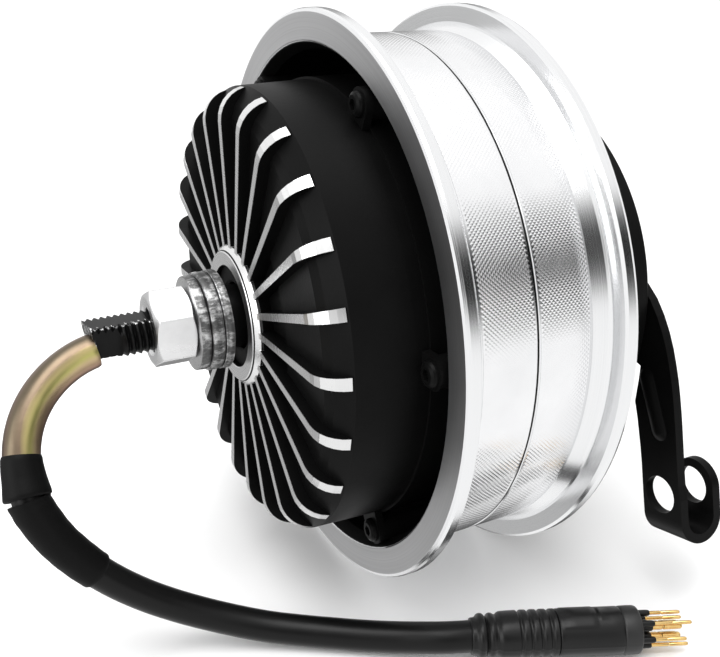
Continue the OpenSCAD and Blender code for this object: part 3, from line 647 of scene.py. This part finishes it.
def shell_shape(i, a, r, t):
    """Raised grip pads, the latch ridge and the mould's parting line on the plug's shell."""
    if r < 6.5:
        return r, t
    top = max(0.0, abs(math.cos(a)))
    pad = min(1.0, max(0.0, (top - 0.72) / 0.08))
    if 27.4 < t < 37.4:
        r += 0.17 * pad
    if 38.3 < t < 39.3:
        r += 0.14 * min(1.0, max(0.0, (top - 0.90) / 0.05))
    if 31.3 < t < 35.7:
        r += 0.14 * math.exp(-((math.remainder(a - 2.35, 2 * math.pi)) / 0.05) ** 4)
    return r + parting(a, 0.08), t


shell = [(0, RELIEF_END), (6.6, RELIEF_END), (6.95, 26.25), (7.05, 26.7)]
shell += [(7.06, t) for t in (27.3, 27.6, 31.2, 31.5, 35.5, 35.8, 37.2, 37.6)]
shell += [(7.06, t) for t in (38.2, 38.5, 39.1, 39.4, 42, 44.9)]
shell += [(6.95, 45.3), (6.8, SHELL_END), (0, SHELL_END)]
rows = turn(shell, 180, PLUG_AXIS, shell_shape)
piece("plug_shell_moulded", flat(rows), rings(rows, False), "axle_side", PLASTIC,
      ["plug_shell"], sharp=50)

band = [(0, SHELL_END), (6.8, SHELL_END), (7.0, 45.8), (7.1, 46.2), (7.15, 48.5), (7.1, 50.3),
        (6.9, 50.8), (6.55, PLUG_END), (6.2, 50.95), (5.95, 50.7), (5.9, 50.2), (5.9, INSERT_AT),
        (0, INSERT_AT)]
rows = turn(band, 128, PLUG_AXIS, lambda i, a, r, t: (r + (parting(a, 0.06) if r > 6.9 else 0), t))
piece("plug_end_band_moulded", flat(rows), rings(rows, False), "axle_side", BAND,
      ["plug_end_band"], sharp=40)


def many(parts):
    """Joins rows of several turned bodies into one set of points and faces."""
    verts, faces = [], []
    for rows in parts:
        base = len(verts)
        verts += [p for row in rows for p in row]
        faces += [[i + base for i in f] for f in rings(rows, False)]
    return verts, faces


def pin_axis(r, deg):
    """Local frame of a pin at radius r and angle deg on the plug's face, as in the CAD."""
    a = math.radians(deg)
    across, up = np.array([0, 0, -1.0]), np.array([-math.sin(PLUG_DIR), math.cos(PLUG_DIR), 0])
    out = np.array([math.cos(PLUG_DIR), math.sin(PLUG_DIR), 0])
    return axis_frame(PLUG_AT + r * (math.cos(a) * across + math.sin(a) * up), out, (0, 0, 1))


def pin(r, end):
    """A crimped pin with a collar and a rounded, hollow tip."""
    return [(0, 49.2), (r * 0.96, 49.2), (r * 0.98, end - 6.2), (r * 0.80, end - 6.0),
            (r * 0.78, end - 5.7), (r * 1.0, end - 5.5), (r * 1.0, end - 0.7), (r * 0.9, end - 0.25),
            (r * 0.7, end), (r * 0.45, end), (r * 0.35, end - 0.3), (r * 0.3, end - 1.6),
            (0, end - 1.8)]


def tip(r):
    """The insulating sleeve round the foot of a pin."""
    return [(0, INSERT_AT), (r, INSERT_AT), (r * 1.03, 49.8), (r, 54.2), (r * 0.9, 54.9),
            (r * 0.72, 55.2), (0, 55.2)]


# radius and angle of each pin on the plug's face
PHASE_PINS = [(2.1, 90 + 120 * k) for k in range(3)]
SIGNAL_PINS = [(4.7, 60 * k + 30) for k in range(6)]
verts, faces = many([turn(pin(1.0, 64.2), 32, pin_axis(*p)) for p in PHASE_PINS])
piece("phase_pins_gold", verts, faces, "axle_side", GOLD, ["phase_pins"])
signal = [turn(pin(0.58, 66.5 if k % 2 else 64.6), 24, pin_axis(*p)) for k, p in enumerate(SIGNAL_PINS)]
verts, faces = many(signal)
piece("signal_pins_gold", verts, faces, "axle_side", GOLD, ["signal_pins"])
insert = [turn(tip(1.42), 32, pin_axis(*p)) for p in PHASE_PINS]
insert += [turn(tip(0.97), 24, pin_axis(*p)) for p in SIGNAL_PINS]
disc = [(0, INSERT_AT), (5.88, INSERT_AT), (5.88, 49.7), (5.6, 50.0), (0, 50.0)]
insert.append(turn(disc, 96, PLUG_AXIS))
verts, faces = many(insert)
piece("plug_insert_moulded", verts, faces, "axle_side", PLASTIC, ["plug_insert"])


# ---------- threaded axle ----------
def thread_radius(y, a):
    """Radius of the M14 thread at a point, from the helix's phase."""
    f = (y / PITCH - a / (2 * math.pi)) % 1.0
    return THREAD_R - 1.05 + 1.05 * min(1.0, max(0.0, min((f - 0.05) / 0.40, (0.95 - f) / 0.35)))


def axle_point(y, r, a, wear):
    """A point of the axle after the flats, the relief beside the cable and the slanted end are cut."""
    x, z = r * math.cos(a), -r * math.sin(a)
    edge = 0.0
    if y < SHOULDER or y > 76:
        flat_at = FLAT - 0.1 if FLAT_STEP < y < 0 else FLAT
        if abs(z) > flat_at:
            edge = max(0.0, 1 - (abs(z) - flat_at) / 0.35)
            z = math.copysign(flat_at, z)
        elif abs(z) > flat_at - 0.3:
            edge = 1.0
    if y < MILL_END + MILL_R:
        reach = MILL_X
        if y > MILL_END:
            reach = MILL_X + MILL_R - math.sqrt(max(0.0, MILL_R ** 2 - (y - MILL_END) ** 2))
        over = x * math.cos(MILLED) - z * math.sin(MILLED) - reach
        if over > 0:
            edge = 0.0
            x, z = x - over * math.cos(MILLED), z + over * math.sin(MILLED)
    end = -AXLE_LEFT + math.tan(TUBE_START) * (x * math.sin(TUBE_DIR) - z * math.cos(TUBE_DIR) - TUBE_BELOW)
    if y < end + 0.35 and r > 5.5:
        edge = 1.0
    return (x, max(y, end), z), edge if wear else 0.0


N = 168
rows, edges = [], []


def axle_row(y, r, wear=False):
    """Adds one ring of the axle's points, and how worn each one is."""
    row = []
    for k in range(N):
        a = 2 * math.pi * k / N
        point, edge = axle_point(y, r(y, a) if callable(r) else r, a, wear)
        row.append(point)
        edges.append(edge)
    rows.append(row)


rows.append([(0, -AXLE_LEFT - TUBE_BELOW * math.tan(TUBE_START), 0)])
edges.append(0.0)
for y in np.arange(-101.4, SHOULDER - 0.1, THREAD_STEP):
    axle_row(float(y), thread_radius, True)
for y, r in ((SHOULDER, 5.9), (SHOULDER, 9.3), (SHOULDER + 0.5, 10), (-38, 10), (-38, 12), (-37.5, 12.5),
        (29.5, 12.5), (30, 12), (30, 10), (54, 10), (PLATE_Y, 9.5), (PLATE_Y, THREAD_R), (61.5, THREAD_R)):
    axle_row(y, r)
for y in np.arange(61.7, AXLE_RIGHT - 0.1, THREAD_STEP):
    axle_row(float(y), lambda y, a: min(thread_radius(y, a), 6.0 + (AXLE_RIGHT - y)), True)
for y, r in ((AXLE_RIGHT, 5.9), (AXLE_RIGHT, 2.4), (90.4, 1.2), (89.6, 1.0)):
    axle_row(y, r)
rows.append([(0, 89.3, 0)])
edges.append(0.0)
piece("axle_threaded", flat(rows), rings(rows, False), "axle_side", AXLE, ["axle"], sharp=40,
      attrs={"edge": edges})


# ---------- nuts and washers ----------
def hexagon(a, af, corner):
    """Radius of a hexagon bar with rounded corners, af across its flats."""
    d = math.remainder(a - corner - math.pi / 6, math.pi / 3)
    r, limit = af / 2 / math.cos(d), af / math.sqrt(3) * 0.985
    return r if r < limit - 0.12 else limit - 0.12 + 0.12 * math.tanh((r - limit + 0.12) / 0.12)


def nut(name, af, bore, y0, y1, corner, material, node, place=(0, 0)):
    """A hexagon nut with 30 degree chamfers on both faces and a countersunk bore."""
    face = af * 0.47

    def section(a):
        """The nut's outline at an angle, as points of (radius, distance)."""
        h = hexagon(a, af, corner)
        rise = (h - face) * 0.6
        half = [(bore, 0.9), (bore + 0.9, 0), (face - 0.15, 0), (face, 0.05), (h - 0.15, rise - 0.12),
                (h, rise + 0.12), (h, 0.3 * (y1 - y0))]
        return [(r, y0 + t) for r, t in half] + [(r, y1 - t) for r, t in reversed(half)]

    centre = axis_frame((place[0], 0, place[1]), (0, 1, 0), (1, 0, 0))
    angles = [2 * math.pi * k / 240 for k in range(240)]
    rows = [[centre(r, t, a) for a, (r, t) in zip(angles, row)] for row in zip(*map(section, angles))]
    return piece(name, flat(rows), rings(rows, True), "axle_side", material, [node], sharp=25)


nut("cable_side_nut_plated", 22, 7.02, -83, -70.5, math.radians(-30), ZINC, "cable_side_nut")
nut("brake_side_nut_plated", 22, 7.02, 61, 73, math.radians(-20), ZINC, "brake_side_nut")
nut("anchor_nut_black", 13, 4, 61, 67.5, 0.0, OXIDE, "anchor_nut", (42, 0))


def washer(name, radius, bore, y0, y1, seed, node, flip, rough=0.12):
    """A stamped washer: one rounded edge, and one side that tore away in the press."""
    n, t = 240, y1 - y0
    a1, a2, a3 = wobble(seed, 60, 18), wobble(seed + 1, 90, 24), wobble(seed + 2, 12, 5)
    part = [(bore, 0.02), (bore, 0.98), (bore + 0.3, 1.0), (radius - 0.9, 1.0), (radius - 0.35, 0.985),
            (radius - 0.08, 0.93), (radius, 0.84), (radius + 0.02, 0.62), (radius, 0.50),
            (radius - 0.06, 0.36), (radius - 0.10, 0.22), (radius - 0.06, 0.10), (radius - 0.16, 0.02),
            (radius - 0.6, 0.0), (bore + 0.3, 0.0)]
    edge = [1.0 if r > radius - 0.5 else 0.0 for r, _ in part]

    def shape(i, a, r, s):
        if edge[i]:
            w = rough * (1.6 if 0.05 < s < 0.5 else 0.5)
            r += w * (a1(a) + 0.6 * a2(a + s)) + 0.10 * a3(a)
            s += (0.05 * a2(a) if 0.05 < s < 0.9 else 0.0)
        return r, y0 + t * (s if flip else 1 - s)

    rows = turn(part, n, Y_AXIS, shape)
    return piece(name, flat(rows), rings(rows, True), "axle_side", WASHER, [node],
                 attrs={"edge": np.repeat(edge, n)})


washer("lock_washer_plated", 14.8, 7.1, -70.5, -67.5, 11, "lock_washer", True, 0.05)
washer("inner_washer_stamped", 15.4, 7.1, -67.3, -63.5, 21, "inner_washer", False)
washer("outer_washer_stamped", 15.6, 7.1, -63.3, -60.4, 31, "outer_washer", True)
washer("brake_side_washer_stamped", 13.0, 7.1, 58.0, 61.0, 41, "brake_side_washer", True)


# ---------- knurled bands on the barrel ----------
def knurl(name, side):
    """A closed ring with a diamond knurl of real pyramids, from the seam out to the bead seat."""
    count, n = 2 * 404, 26
    y0, y1, low, high, bore = 0.75, 17.3, 83.24, 83.295, 83.0
    rows = []
    for j in range(n + 1):
        y = side * (y0 + (y1 - y0) * j / n)
        row = []
        for k in range(count):
            a = 2 * math.pi * k / count
            r = high if (k + j) % 2 and 0 < j < n else low
            row.append((r * math.cos(a), y, -r * math.sin(a)))
        rows.append(row)
    verts = [p for row in rows for p in row]
    faces = []
    for j in range(n + 1):
        for k in range(count):
            if (k + j) % 2 == 0:
                continue
            c, left, right = j * count + k, j * count + (k - 1) % count, j * count + (k + 1) % count
            up, down = (j + 1) * count + k, (j - 1) * count + k
            if j < n:
                faces += [(c, right, up), (c, up, left)]
            if j > 0:
                faces += [(c, left, down), (c, down, right)]
    inner = []
    for y in (y0 + 0.1, y1 - 0.1):
        inner.append(len(verts))
        for k in range(count):
            a = 2 * math.pi * k / count
            verts.append((bore * math.cos(a), side * y, -bore * math.sin(a)))
    for k in range(count):
        after = (k + 1) % count
        faces.append((k, inner[0] + k, inner[0] + after, after))
        faces.append((inner[0] + k, inner[1] + k, inner[1] + after, inner[0] + after))
        faces.append((n * count + k, n * count + after, inner[1] + after, inner[1] + k))
    if side > 0:
        faces = [tuple(reversed(f)) for f in faces]
    o = piece(name, verts, faces, "wheel", KNURL, sharp=180)
    o.data.shade_flat()
    return o


knurl("knurl_band_left", -1)
knurl("knurl_band_right", 1)

# ---------- stage ----------
floor_mat = Mat("pale_floor", Roughness=0.6)
floor_mat.set("Base Color", floor_mat.mix(floor_mat.noise(3.0, 2.0), grey(0.87), grey(0.91)))
me = bpy.data.meshes.new("floor")
corners = [(x, y, FLOOR_Z) for x, y in ((-30, -30), (30, -30), (30, 30), (-30, 30))]
me.from_pydata(corners, [], [(0, 1, 2, 3)])
me.materials.append(floor_mat.m)
floor = bpy.data.objects.new("floor", me)
scene.collection.objects.link(floor)
floor.visible_glossy = False

world = bpy.data.worlds.new("studio")
scene.world = world
world.use_nodes = True
wt = world.node_tree
sky = wt.nodes["Background"]
geo = wt.nodes.new("ShaderNodeTexCoord")


def sky_patch(direction, near, far, inside, outside):
    """Strength that goes smoothly from outside to inside between the angles far and near, in degrees."""
    dot = wt.nodes.new("ShaderNodeVectorMath")
    dot.operation = "DOT_PRODUCT"
    dot.inputs[1].default_value = Vector(direction).normalized()
    wt.links.new(geo.outputs["Generated"], dot.inputs[0])
    fall = wt.nodes.new("ShaderNodeMapRange")
    fall.interpolation_type = "SMOOTHSTEP"
    for k, v in (("From Min", math.cos(math.radians(far))), ("From Max", math.cos(math.radians(near))),
            ("To Min", outside), ("To Max", inside)):
        fall.inputs[k].default_value = v
    wt.links.new(dot.outputs["Value"], fall.inputs["Value"])
    return fall.outputs[0]


# the studio is white all round, with dark cards that the metal mirrors; each card is a direction,
# the angles where it is full and where it ends, and the strength inside and outside it
CARDS = (
    ((0.74, 0.60, 0.28), 7, 22, 0.0, 1.0),
    ((-0.57, 0.49, -0.66), 8, 37, 0.10, 1.12),
    ((-0.88, 0.48, 0.12), 5, 22, 0.3, 1.0),
    ((-0.80, -0.45, -0.40), 8, 40, 0.45, 1.0),
    ((-0.71, -0.65, -0.27), 4, 13, 0.15, 1.0),
    ((0.80, -0.40, 0.38), 8, 22, 0.03, 1.0),
)
product = sky_patch(*CARDS[0])
for card in CARDS[1:]:
    n = wt.nodes.new("ShaderNodeMath")
    n.operation = "MULTIPLY"
    wt.links.new(product, n.inputs[0])
    wt.links.new(sky_patch(*card), n.inputs[1])
    product = n.outputs[0]
wt.links.new(product, sky.inputs["Strength"])
sky.inputs["Color"].default_value = (1, 1, 1, 1)


def softbox(name, at, aim, size, power):
    """A rectangular area light that points from at to aim."""
    data = bpy.data.lights.new(name, "AREA")
    data.shape = "RECTANGLE"
    data.size, data.size_y = size
    data.energy = power
    o = bpy.data.objects.new(name, data)
    scene.collection.objects.link(o)
    o.location = at
    o.rotation_mode = "QUATERNION"
    o.rotation_quaternion = (Vector(aim) - Vector(at)).to_track_quat("-Z", "Y")


softbox("top_softbox", (0.25, -0.35, 1.1), (0, 0, 0), (0.8, 0.8), 7)
softbox("left_softbox", (0.2, -1.1, 0.35), (0, 0, 0), (0.7, 0.7), 4)
sun = bpy.data.lights.new("soft_overhead", "SUN")
sun.energy, sun.angle = 0.9, math.radians(50)
sun_lamp = bpy.data.objects.new("soft_overhead", sun)
scene.collection.objects.link(sun_lamp)

bpy.context.view_layer.update()
